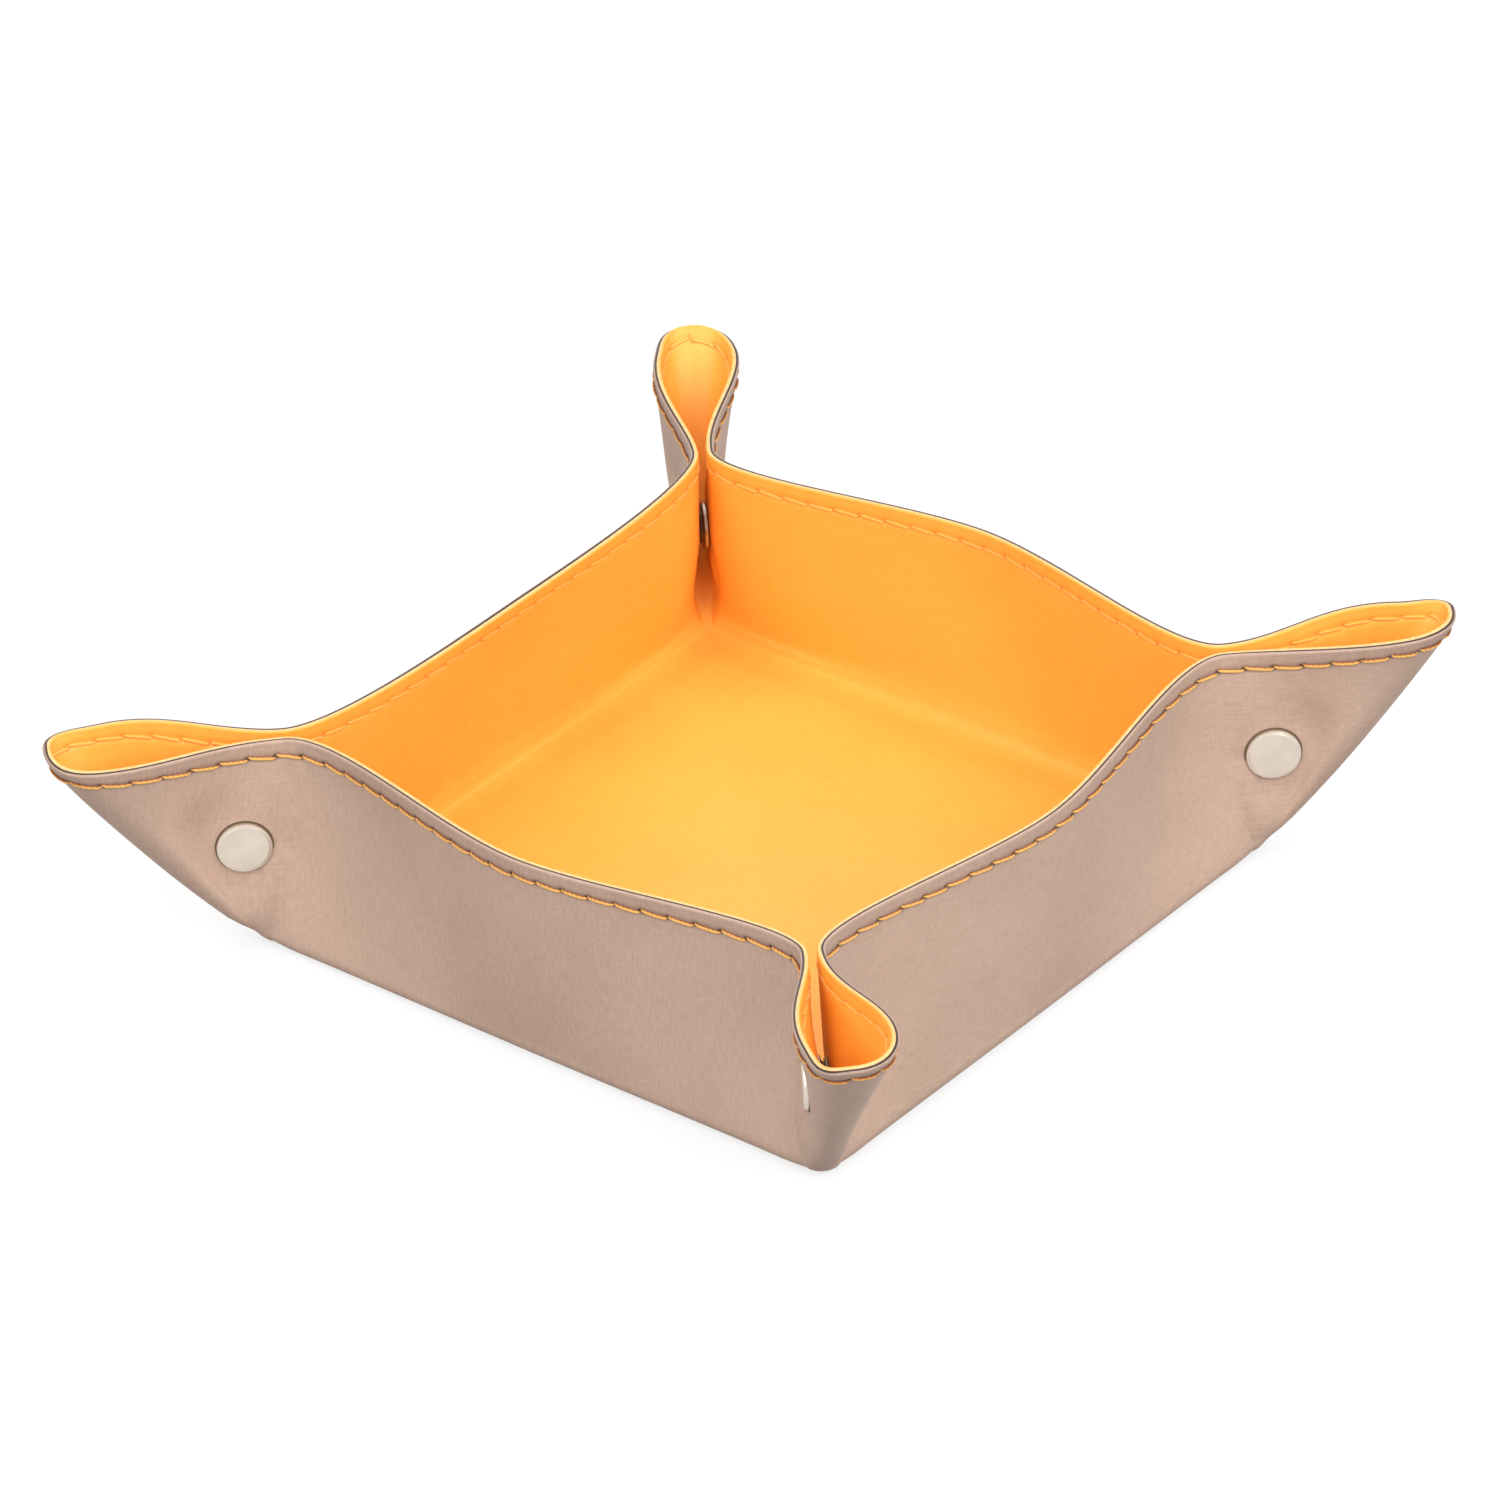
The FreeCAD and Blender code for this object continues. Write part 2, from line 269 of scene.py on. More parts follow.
def facing(v):
    """Unit normals; where the sheet shrinks to a point, which is on the base, they face down."""
    length = np.linalg.norm(v, axis=-1, keepdims=True)
    return np.where(length > TINY, v / np.maximum(length, TINY), np.array([0, 0, -1.0]))


def smooth(x):
    x = np.clip(x, 0, 1)
    return x * x * (3 - 2 * x)


along = np.array([1.0, 0, 0])
outwards = np.array([0, 1.0, 0])
diagonal = unit(along + outwards)
across = unit(outwards - along)
corner = np.array([bond_half, 0, OUTER_THICK])
corner_centre = corner - (along + outwards) * FOLD_REACH
snap_half_gap = (FOLD_REACH / math.sqrt(2) + CREASE_N) / 2


def ear_point(e, n, z):
    """Point at a height, from its place along and across the ear's diagonal."""
    point = corner + diagonal * e + across * n
    return np.array([point[0], point[1], z])


def heading(degrees):
    """Level direction at an angle to the ear's diagonal."""
    turn = math.radians(degrees)
    return diagonal * math.cos(turn) + across * math.sin(turn)


def foot_corner(share):
    """Point and direction on the rounded corner of the foot, at a share of the way to the diagonal."""
    turn = half_right_angle * share
    out = along * math.sin(turn) + outwards * math.cos(turn)
    return corner_centre + out * FOLD_REACH, along * math.cos(turn) - outwards * math.sin(turn)


def arc_reach(share):
    """Handle of a curve that follows this share of the rounded corner."""
    return FOLD_REACH * 4 / 3 * math.tan(half_right_angle * share / 4)


def make_guides(name):
    """Foot, snap-height and rim guides of one wall."""
    lean = WALL_LEAN[name]
    foot = [(np.array([0, 0, OUTER_THICK]), along), (np.array([flat_half, 0, OUTER_THICK]), along),
            foot_corner(BULGE_FOOT_SHARE), foot_corner(1)]
    rim = [(np.array([0, lean, RIM_MIDDLE_Z[name]]), along),
           (ear_point(CREASE_E, CREASE_N, RIM_CREASE_Z), diagonal),
           (ear_point(BULGE_E, BULGE_N, RIM_BULGE_Z), heading(BULGE_TURN_DEG)),
           (ear_point(TIP_E, 0, RIM_TIP_Z), -across)]
    middles = [(low[0] + high[0]) / 2 for low, high in zip(foot, rim)]
    middles[0] = np.array([0, lean / 2 + WALL_BELLY, SNAP_Z])
    snap = list(zip(middles, (along, diagonal, heading(BULGE_TURN_SNAP_DEG), -across)))
    # the same reach ratio on all three guides keeps the sheet smooth across the crease and the bulge line
    crease_ratio = CREASE_WALL_REACH / CREASE_EAR_REACH
    bulge_ratio = BULGE_OUT_REACH / BULGE_IN_REACH
    ear_ends = [(arc_reach(BULGE_FOOT_SHARE),) * 2, (CREASE_SNAP_REACH, BULGE_SNAP_REACH),
                (CREASE_EAR_REACH, BULGE_IN_REACH)]
    tip_ends = (arc_reach(1 - BULGE_FOOT_SHARE), TIP_SNAP_REACH, TIP_REACH)
    return [(guide, [(WALL_REACH, crease_ratio * ear[0]), ear, (bulge_ratio * ear[1], tip)])
            for guide, ear, tip in zip((foot, snap, rim), ear_ends, tip_ends)]


def on_guide(guide, s):
    """Points of a guide at an array of s."""
    knots, handles = guide
    spots = np.array([knot[0] for knot in knots])
    ways = np.array([knot[1] for knot in knots])
    reach = np.array(handles)
    span = np.minimum(s.astype(int), len(handles) - 1)
    f = (s - span)[:, None]
    g = 1 - f
    first = spots[span] + ways[span] * reach[span, :1]
    second = spots[span + 1] - ways[span + 1] * reach[span, 1:]
    return spots[span] * g**3 + first * 3 * g * g * f + second * 3 * g * f * f + spots[span + 1] * f**3


def press_flat(point, s):
    """The ear half is flat round its snap."""
    offset = point - corner
    n = offset @ across
    away = np.hypot(offset @ diagonal - SNAP_E, point[..., 2] - SNAP_Z)
    pressed = 1 - smooth((away - SNAP_FLAT_R) / SNAP_FLAT_BLEND)
    between = smooth((S_BULGE - s) / SNAP_FLAT_SHARE) * smooth((s - S_CREASE) / SNAP_START_SHARE)
    pressed = pressed * between[:, None]
    return point + across * ((snap_half_gap - n) * pressed)[..., None]


def bond(guides, s, t, ears):
    """Bond surface at columns s and, in each column, rows t; ears are those at the left and right end."""
    side = np.where(s < 0, -1.0, 1.0)
    a = np.abs(s)
    foot, snap, rim = (on_guide(guide, a)[:, None, :] for guide in guides)
    rise = unit(snap - foot) * FOLD_REACH
    inset = foot.copy()
    inset[..., 0] = np.minimum(foot[..., 0], flat_half)
    inset[..., 1] = -FOLD_REACH
    middle = (inset + foot * 3 + rise) / 4
    t = t[..., None]
    k = t - T_BASE
    low = inset * (1 - k)**2 + (inset + foot) * k * (1 - k) + middle * k * k
    high = middle * (1 - t)**2 + (foot + rise / 2) * 2 * t * (1 - t) + (foot + rise) * t * t
    k = t - T_WALL
    wall = (foot + rise) * (1 - k) * (1 - 2 * k) + snap * 4 * k * (1 - k) + rim * k * (2 * k - 1)
    point = np.where(t < T_FOLD, low, np.where(t < T_WALL, high, wall))
    point = press_flat(ease_pinch(point), a)
    for ear, way in zip(ears, (-1, 1)):
        point = np.where((side == way)[:, None, None], hang_ear(point, ear, way), point)
    point[..., 0] *= side[:, None]
    return point


def ease_pinch(point):
    """Below the snaps the pinch lets go, so the wall runs round to the ear without a sharp crease."""
    offset = point - corner
    e, n, z = offset @ diagonal, offset @ across, point[..., 2]
    low = np.clip(z / SNAP_Z, 0, 1)
    near = np.exp(-((e - PINCH_EASE_E) / PINCH_EASE_WIDE)**2)
    ease = PINCH_EASE * 4 * low * (1 - low) * near * smooth(n / CREASE_N)
    return point + across * ease[..., None]


def corner_lift(e, z):
    """The corner of the base is drawn up a little by the pinch."""
    return CORNER_LIFT * smooth((e + CORNER_LIFT_E) / CORNER_LIFT_E) * (1 - smooth(z / SNAP_Z))


def hang_ear(point, ear, side):
    """Move the points of one ear half as that ear hangs; side is 1 on its near half and -1 on its far one."""
    offset = point - corner
    e, n, z = offset @ diagonal, offset @ across, point[..., 2]
    high = np.clip(z / RIM_TIP_Z, 0, 1)
    ridge_e = TIP_E * high
    loose = smooth((e - EAR_FREE_E) / (TIP_E - EAR_FREE_E)) * high
    wide, lift = (dial[ear] for dial in (NEAR_DIALS if side > 0 else FAR_DIALS))
    share = np.clip(n / BULGE_N, 0, EAR_WIDEST_SHARE)
    blunt = 1 - TIP_BLUNT_SHARE * smooth((e - BULGE_E) / (TIP_E - BULGE_E))
    waist = np.sqrt(4 * high * (1 - high)) * smooth((z - OUTER_THICK) / KEEL_HIGH)
    towards_ridge = smooth((e + KEEL_START) / (ridge_e + KEEL_START))
    keel = EAR_KEEL[ear] * waist * towards_ridge * np.exp(-(n / KEEL_WIDE)**2)
    # low down, the near half runs to the ridge without bulging, except round its snap
    narrow = 0 * e
    if side > 0:
        narrow = EAR_NARROW_SHARES[ear] * (1 - high) * smooth(2 * e / (ridge_e + KEEL_START))
    clear = smooth((np.hypot(e - SNAP_E, z - SNAP_Z) - SNAP_FLAT_R) / KEEL_CLEAR)
    sideways = side * EAR_SWAY[ear] * loose + wide * loose * share * blunt - narrow * clear * n
    moved = (across * sideways[..., None]
             + diagonal * (EAR_REACH[ear] * loose + KEEL_OUT_SHARE * keel)[..., None])
    moved[..., 2] += (EAR_LIFT[ear] * loose + lift * smooth(share) * loose - KEEL_DOWN_SHARE * keel
                      + corner_lift(e, z))
    return point + moved


def fold_fill(climb):
    """Extra lining that rounds the inside of the bottom fold; climb is the distance up the sheet."""
    return FOLD_FILL * np.exp(-((climb - FOLD_REACH) / FOLD_FILL_HIGH)**2)


def normal_of(surface, s, t, step):
    """Normals of a surface of s and t, by small steps that stay on the sheet."""
    ds = surface(np.minimum(s + step, S_TIP), t) - surface(np.maximum(s - step, -S_TIP), t)
    dt = surface(s, np.minimum(t + step, T_RIM)) - surface(s, np.maximum(t - step, T_BASE))
    return facing(np.cross(dt, ds))


class Wall:
    """One wall with its two ear halves: surface, stitch line and flat-sheet coordinates."""

    def __init__(self, name):
        self.name = name
        self.turn = WALLS.index(name)
        self.guides = make_guides(name)
        self.ears = (WALLS[self.turn - 1], name)
        self.table_s = np.linspace(0, S_TIP, TABLE_STEPS)
        rim = np.full((TABLE_STEPS, 1), float(T_RIM))
        last_step = self.bond(self.table_s, rim) - self.bond(self.table_s, rim - RISE_STEP)
        self.table_rise = np.linalg.norm(last_step[:, 0], axis=-1) / RISE_STEP
        line = self.bond(self.table_s, self.rows(self.table_s, [STITCH_MARGIN]))[:, 0]
        steps = np.linalg.norm(np.diff(line, axis=0), axis=-1)
        self.table_arc = np.concatenate([[0], np.cumsum(steps)])
        self.half_arc = self.table_arc[-1]
        self.stitches = round(self.half_arc / STITCH_PITCH)
        self.pitch = self.half_arc / self.stitches

    def bond(self, s, t):
        return bond(self.guides, s, t, self.ears)

    def rise(self, s):
        """Millimetres of sheet for each step of 1 in t, at the rim."""
        return np.interp(np.abs(s), self.table_s, self.table_rise)

    def rows(self, s, depths):
        """t of points at these distances below the rim."""
        return T_RIM - np.asarray(depths)[None, :] / self.rise(s)[:, None]

    def arc(self, s):
        """Distance along the stitch line from the middle of the wall."""
        return np.sign(s) * np.interp(np.abs(s), self.table_s, self.table_arc)

    def s_at(self, arc):
        """The s at a distance along the stitch line."""
        return np.sign(arc) * np.interp(np.abs(arc), self.table_arc, self.table_s)

    def normal(self, s, t):
        """Outward normal of the bond surface."""
        return normal_of(self.bond, s, t, BOND_STEP)

    def depth(self, s, t):
        """Distance below the rim."""
        return (T_RIM - t) * self.rise(s)[:, None]

    def climb(self, s, t):
        """Distance up the sheet from the edge of the flat base."""
        above = FOLD_REACH * 2 * FOLD_ARC_SHARE + (t - T_WALL) * self.rise(s)[:, None]
        return np.where(t < T_WALL, (t - T_BASE) * FOLD_REACH * FOLD_ARC_SHARE, above)

    def holes(self, s):
        """Stitches counted from the middle of the wall, and the distance to the nearest needle hole."""
        phase = (self.arc(s) / self.pitch)[:, None]
        return phase, (phase - np.round(phase)) * self.pitch

    def relief(self, s, t, layer):
        """How far the face of a layer stands out from its plain thickness."""
        depth = self.depth(s, t)
        phase, hole = self.holes(s)
        beside = depth - STITCH_MARGIN
        edge = np.clip(1 - depth / EDGE_ROUND[layer], 0, 1)
        rounding = -EDGE_DROP[layer] * (1 - np.sqrt(1 - edge**2))
        dent = HOLE_DEEP[layer] * np.exp(-(hole**2 + beside**2) / HOLE_R**2)
        wave = (1 + np.cos(2 * np.pi * phase)) / 2
        groove = (GROOVE_DEEP[layer] + GROOVE_PULL[layer] * wave) * np.exp(-(beside / GROOVE_WIDE[layer])**2)
        puff = PUFF_HIGH * np.exp(-((np.abs(beside) - PUFF_AWAY[layer]) / PUFF_WIDE[layer])**2) * (1 - wave)
        if layer == "outer":
            fold = FOLD_SQUARE * (1 - np.clip(t, T_BASE, T_WALL)**2)**2
        else:
            fold = fold_fill(self.climb(s, t))
        return puff + rounding + fold - groove - dent

    def shade(self, s, t):
        """Painted shade of the stitching: 1 in a needle hole, less along the groove; the band between the
        stitching and the rim is a little darker too.
        """
        beside = self.depth(s, t) - STITCH_MARGIN
        _, hole = self.holes(s)
        dent = np.exp(-(hole**2 + beside**2) / STITCH_SHADE_R**2)
        line = GROOVE_SHADE_SHARE * np.exp(-(beside / STITCH_SHADE_R)**2)
        return np.clip(dent + line + RIM_DARK_SHARE * smooth(-beside / RIM_DARK_REACH), 0, 1)

    def skin(self, s, t, layer):
        """Points of the visible face of a layer, or of the bond between the layers."""
        point = self.bond(s, t)
        if layer == "bond":
            return point
        offset = (THICK[layer] + self.relief(s, t, layer)) * FACE_SIDE[layer]
        return point + self.normal(s, t) * offset[..., None]

    def skin_normal(self, s, t, layer):
        """Normal of the visible face of a layer, away from the bond."""
        return normal_of(lambda s, t: self.skin(s, t, layer), s, t, SKIN_STEP) * FACE_SIDE[layer]

    def flat(self, s, t):
        """Place of a point on the uncut flat sheet, in millimetres."""
        a = np.abs(s)
        foot = on_guide(self.guides[0], a)
        climb = self.climb(s, t)
        crease = np.interp(S_CREASE, self.table_s, self.table_arc)
        fan = half_right_angle * np.clip((self.arc(a) - crease) / (self.half_arc - crease), 0, 1)
        start = np.minimum(foot[:, 0], flat_half)
        x = start[:, None] + climb * np.sin(fan)[:, None]
        y = -flat_half - climb * np.cos(fan)[:, None]
        return self.turned(np.stack([x * np.where(s < 0, -1, 1)[:, None], y, np.zeros_like(x)], axis=-1))

    def turned(self, p):
        """Points of the front wall turned about z to this wall."""
        for _ in range(self.turn):
            p = np.stack([-p[..., 1], p[..., 0], p[..., 2]], axis=-1)
        return p

    def world(self, p):
        """Points of this wall in the shared frame, still in millimetres."""
        return self.turned(np.stack([p[..., 0], -bond_half - p[..., 1], p[..., 2]], axis=-1))

    def world_way(self, v):
        """Directions on this wall in the shared frame."""
        return self.turned(np.stack([v[..., 0], -v[..., 1], v[..., 2]], axis=-1))


# meshes
def make_object(name, points, faces, materials, normals=None, flat=None, face_materials=None, shade=None):
    """Mesh object from millimetre points; normals are one per face corner, or none."""
    mesh = bpy.data.meshes.new(name)
    mesh.from_pydata((np.asarray(points) * MM).tolist(), [], [list(map(int, f)) for f in faces])
    for material in materials:
        mesh.materials.append(material)
    if face_materials is not None:
        mesh.polygons.foreach_set("material_index", np.asarray(face_materials, dtype=np.int32))
    mesh.polygons.foreach_set("use_smooth", [True] * len(mesh.polygons))
    if shade is not None:
        layer = mesh.attributes.new("shade", "FLOAT", "POINT")
        layer.data.foreach_set("value", np.asarray(shade, dtype=np.float32))
    if flat is not None:
        layer = mesh.attributes.new("flat", "FLOAT_VECTOR", "POINT")
        layer.data.foreach_set("vector", np.asarray(flat, dtype=np.float32).ravel())
    if normals is not None:
        mesh.normals_split_custom_set(np.asarray(normals).tolist())
    mesh.update()
    obj = bpy.data.objects.new(name, mesh)
    bpy.context.scene.collection.objects.link(obj)
    return obj


def grid_faces(columns, rows, first, flip):
    """Four-sided faces over a grid of points that starts at number first."""
    index = first + np.arange(columns * rows).reshape(columns, rows)
    quads = np.stack([index[:-1, :-1], index[1:, :-1], index[1:, 1:], index[:-1, 1:]], axis=-1).reshape(-1, 4)
    return quads[:, ::-1] if flip else quads


def slab_faces(columns, rows, upright):
    """Faces of a closed slab between two like grids of points: top, underside and the four sides in turn."""
    count = columns * rows
    index = np.arange(count).reshape(columns, rows)
    sides = []
    for line, turned in ((index[:, 0], False), (index[:, -1], True), (index[0], True), (index[-1], False)):
        quads = np.stack([line[:-1], line[1:], line[1:] + count, line[:-1] + count], axis=-1)
        sides.append(quads[:, ::-1] if turned != upright else quads)
    top = grid_faces(columns, rows, 0, not upright)
    return top, grid_faces(columns, rows, count, upright), np.concatenate(sides)


def sheet_piece(name, wall, s, t, layer, materials):
    """Closed piece of one layer: visible face, bonded face and sides, with the rim in the second material."""
    columns, rows = t.shape
    top, under, sides = slab_faces(columns, rows, layer == "outer")
    faces = np.concatenate([top, under, sides])
    face, back = (wall.world(wall.skin(s, t, side)).reshape(-1, 3) for side in (layer, "bond"))
    points = np.concatenate([face, back])
    way = wall.world_way(wall.skin_normal(s, t, layer)).reshape(-1, 3)
    back_way = wall.world_way(wall.normal(s, t)).reshape(-1, 3) * -FACE_SIDE[layer]
    a, b, c, d = (points[sides[:, i]] for i in range(4))
    side_way = np.cross(c - a, d - b)
    side_way = side_way / np.maximum(np.linalg.norm(side_way, axis=-1, keepdims=True), TINY)
    normals = np.concatenate([np.concatenate([way, back_way])[np.concatenate([top, under])].reshape(-1, 3),
                              np.repeat(side_way, 4, axis=0)])
    rim = len(top) + len(under) + columns - 1
    slots = np.zeros(len(faces), dtype=int)
    slots[rim:rim + columns - 1] = 1
    flat = np.tile(wall.flat(s, t).reshape(-1, 3), (2, 1))
    shade = np.tile(wall.shade(s, t).reshape(-1), 2)
    return make_object(name, points, faces, materials, normals, flat, slots, shade)


def stitch_piece(name, wall, numbers, layer, material):
    """Threads of one layer: each stitch is a short twisted cord that dips into its two holes."""
    q = np.linspace(-1, 1, STITCH_STEPS)
    ends = np.abs(q)
    lift = THICK[layer] + STITCH_PROUD[layer] * (1 - ends**3) - STITCH_DIP * ends**8
    swell = THREAD_END_SHARE + (1 - THREAD_END_SHARE) * np.sqrt(np.clip(1 - ends**4, 0, 1))
    radius = THREAD_R * THREAD_SHARES[layer] * swell[:, None, None]
    angle = np.linspace(0, 2 * np.pi, THREAD_SIDES, endpoint=False)
    wide = THREAD_WIDE_SHARE * np.cos(angle)[None, :, None]
    high = THREAD_HIGH_SHARE * np.sin(angle)[None, :, None]
    grid = np.arange(STITCH_STEPS * THREAD_SIDES).reshape(STITCH_STEPS, THREAD_SIDES)
    rng = np.random.default_rng(STITCH_SEED + wall.turn)
    wobbles = rng.uniform(-1, 1, (4 * wall.stitches, 3))
    points, faces, flats = [], [], []
    for number in numbers:
        longer, steeper, deeper = wobbles[number + 2 * wall.stitches]
        half = wall.pitch * (1 + STITCH_LENGTH_VARY_SHARE * longer) / 2
        centre = (number + 0.5) * wall.pitch
        arc = np.clip(centre + q * half, -wall.half_arc, wall.half_arc)
        s = wall.s_at(arc)
        slant = STITCH_SLANT * (1 + STITCH_SLANT_VARY_SHARE * steeper) * FACE_SIDE[layer]
        depth = STITCH_MARGIN + q * slant + STITCH_DEPTH_VARY * deeper
        t = T_RIM - (depth / wall.rise(s))[:, None]
        normal = wall.normal(s, t)[:, 0] * FACE_SIDE[layer]
        middle = wall.bond(s, t)[:, 0] + normal * lift[:, None]
        tangent = unit(np.gradient(middle, axis=0))
        beside = unit(np.cross(normal, tangent))
        up = np.cross(tangent, beside)
        ring = middle[:, None] + radius * (beside[:, None] * wide + up[:, None] * high)
        index = grid + len(points) * grid.size
        after = np.roll(index, -1, axis=1)
        quads = np.stack([index[:-1], index[1:], after[1:], after[:-1]], axis=-1).reshape(-1, 4)
        faces += quads.tolist() + [index[0].tolist(), index[-1][::-1].tolist()]
        points.append(wall.world(ring.reshape(-1, 3)))
        flats.append(np.stack(np.broadcast_arrays(arc[:, None], angle[None, :], 0.0), axis=-1).reshape(-1, 3))
    return make_object(name, np.concatenate(points), faces, [material], flat=np.concatenate(flats))


def revolve_piece(name, profile, centre, axis, materials, dark_bands):
    """Closed turned piece: profile is (radius, distance along the axis) from the axis round to the axis."""
    side = unit(np.cross(axis, np.array([0, 0, 1.0])))
    up = np.cross(side, axis)
    angle = np.linspace(0, 2 * np.pi, TURNED_SIDES, endpoint=False)
    points, rings = [], []
    for radius, height in profile:
        if radius == 0:
            rings.append([len(points)] * TURNED_SIDES)
            points.append(centre + axis * height)
            continue
        rings.append(list(range(len(points), len(points) + TURNED_SIDES)))
        for turn in angle:
            points.append(centre + axis * height + radius * (side * math.cos(turn) + up * math.sin(turn)))
    faces, slots = [], []
    for band, (low, high) in enumerate(zip(rings[:-1], rings[1:])):
        for i in range(TURNED_SIDES):
            j = (i + 1) % TURNED_SIDES
            quad = [low[i], low[j], high[j], high[i]]
            face = [v for k, v in enumerate(quad) if v not in quad[:k]]
            if len(face) > 2:
                faces.append(face)
                slots.append(1 if band in dark_bands else 0)
    obj = make_object(name, np.array(points), faces, materials, face_materials=slots)
    obj.data.set_sharp_from_angle(angle=math.radians(TURNED_SHARP_DEG))
    return obj


# materials
def srgb(red, green, blue):
    """Shader colour of a colour given as it looks on a screen, 0 to 255, by the sRGB curve."""
    def linear(c):
        c = c / 255
        return c / 12.92 if c <= 0.04045 else ((c + 0.055) / 1.055)**2.4
    return (linear(red), linear(green), linear(blue), 1)


def add_node(tree, kind, inputs=(), **settings):
    """New node; its inputs are values or other nodes' sockets, by name or number."""
    node = tree.nodes.new(kind)
    for key, value in settings.items():
        setattr(node, key, value)
    for key, value in dict(inputs).items():
        if isinstance(value, bpy.types.NodeSocket):
            tree.links.new(value, node.inputs[key])
        else:
            node.inputs[key].default_value = value
    return node


class Nodes:
    """Short calls for building a material."""

    def __init__(self, name, **shader):
        self.material = bpy.data.materials.new(name)
        self.material.use_nodes = True
        self.tree = self.material.node_tree
        self.shader = self.tree.nodes["Principled BSDF"]
        for key, value in shader.items():
            self.shader.inputs[key.replace("_", " ")].default_value = value

    def add(self, kind, inputs=(), **settings):
        return add_node(self.tree, kind, inputs, **settings)

    def link(self, out, key):
        self.tree.links.new(out, self.shader.inputs[key])

    def scaled(self, place, scale):
        return self.add("ShaderNodeMapping", {"Vector": place, "Scale": scale}).outputs["Vector"]

    def flat(self, scale):
        """Place on the uncut flat sheet, scaled."""
        place = self.add("ShaderNodeAttribute", attribute_name="flat", attribute_type="GEOMETRY")
        return self.scaled(place.outputs["Vector"], scale)

    def value(self, name):
        return self.add("ShaderNodeAttribute", attribute_name=name, attribute_type="GEOMETRY").outputs["Fac"]

    def object(self, scale):
        """Place on the object, scaled."""
        return self.scaled(self.add("ShaderNodeTexCoord").outputs["Object"], scale)

    def noise(self, vector, detail, roughness=0.5):
        return self.add("ShaderNodeTexNoise", {"Vector": vector, "Scale": 1.0, "Detail": detail,
                                               "Roughness": roughness}).outputs["Fac"]

    def ramp(self, fac, *stops):
        node = self.add("ShaderNodeValToRGB", {"Fac": fac})
        ramp = node.color_ramp
        while len(ramp.elements) < len(stops):
            ramp.elements.new(0.5)
        for element, (place, colour) in zip(ramp.elements, stops):
            element.position = place
            element.color = colour
        return node.outputs["Color"]

    def math(self, operation, a, b):
        return self.add("ShaderNodeMath", {0: a, 1: b}, operation=operation).outputs["Value"]

    def mix(self, fac, a, b):
        """Mix of two colours, which have the numbers 6 and 7 among the node's inputs."""
        return self.add("ShaderNodeMix", {0: fac, 6: a, 7: b}, data_type="RGBA").outputs[2]

    def range(self, value, low, high):
        node = self.add("ShaderNodeMapRange", {"Value": value, "To Min": low, "To Max": high})
        return node.outputs["Result"]

    def bump(self, height, strength, distance):
        node = self.add("ShaderNodeBump", {"Height": height, "Strength": strength, "Distance": distance})
        self.link(node.outputs["Normal"], "Normal")


def outer_leather():
    """Taupe leatherette with a fine brushed grain, and painted shade in the needle holes and along the
    stitching.
    """
    m = Nodes("outer_leather", Specular_IOR_Level=0.25, Sheen_Weight=0.04, Sheen_Roughness=0.4)
    brushed = m.noise(m.flat(scale=(2.6, 0.34, 1)), detail=4, roughness=0.6)
    crossed = m.noise(m.flat(scale=(0.4, 2.2, 1)), detail=3, roughness=0.6)
    pore = m.noise(m.flat(scale=(4.5, 3.6, 1)), detail=3, roughness=0.6)
    cloud = m.noise(m.flat(scale=(0.05, 0.035, 1)), detail=3)
    tone = m.ramp(brushed, (0.3, srgb(185, 153, 134)), (0.5, srgb(203, 172, 153)),
                  (0.72, srgb(219, 189, 170)))
    tone = m.mix(0.4, tone, m.ramp(crossed, (0.3, srgb(187, 156, 137)), (0.7, srgb(218, 187, 168))))
    tone = m.mix(0.25, tone, m.ramp(cloud, (0.35, srgb(191, 160, 141)), (0.65, srgb(215, 184, 165))))
    # painted shade: the needle holes and the stitch groove darkened, and the band between the stitching and
    # the rim a little darker
    tone = m.mix(m.math("MULTIPLY", m.value("shade"), 0.9), tone, srgb(70, 46, 34))
    m.link(tone, "Base Color")
    height = m.math("ADD", m.math("MULTIPLY", brushed, 0.4), m.math("MULTIPLY", pore, 0.6))
    m.link(m.range(pore, low=0.5, high=0.64), "Roughness")
    m.bump(height, strength=0.22, distance=0.0002)
    return m.material


def liner_leather():
    """Smooth orange leatherette."""
    m = Nodes("liner_leather", Specular_IOR_Level=0.5)
    pore = m.noise(m.flat(scale=(2.6, 2.6, 1)), detail=4, roughness=0.6)
    cloud = m.noise(m.flat(scale=(0.045, 0.045, 1)), detail=3)
    speck = m.noise(m.flat(scale=(0.4, 0.4, 1)), detail=3)
    tone = m.ramp(cloud, (0.3, srgb(248, 173, 66)), (0.7, srgb(250, 181, 74)))
    tone = m.mix(0.2, tone, m.ramp(speck, (0.35, srgb(247, 171, 68)), (0.65, srgb(253, 190, 90))))
    # painted shade of the needle holes and the stitch groove in a deeper orange, and the band up to the rim a
    # little darker
    tone = m.mix(m.math("MULTIPLY", m.value("shade"), 0.16), tone, srgb(218, 122, 40))
    m.link(tone, "Base Color")
    m.link(m.range(pore, low=0.44, high=0.6), "Roughness")
    m.bump(pore, strength=0.14, distance=0.00015)
    return m.material


def plain_leather(name, dark, light, roughness):
    """Rim edges: two tones of one colour with a fine grain."""
    vary = 0.08
    m = Nodes(name, Specular_IOR_Level=0.4)
    grain = m.noise(m.flat(scale=(1.6, 1.6, 1)), detail=3)
    m.link(m.ramp(grain, (0.3, dark), (0.7, light)), "Base Color")
    m.link(m.range(grain, low=roughness - vary, high=roughness + vary), "Roughness")
    m.bump(grain, strength=0.25, distance=0.0001)
    return m.material


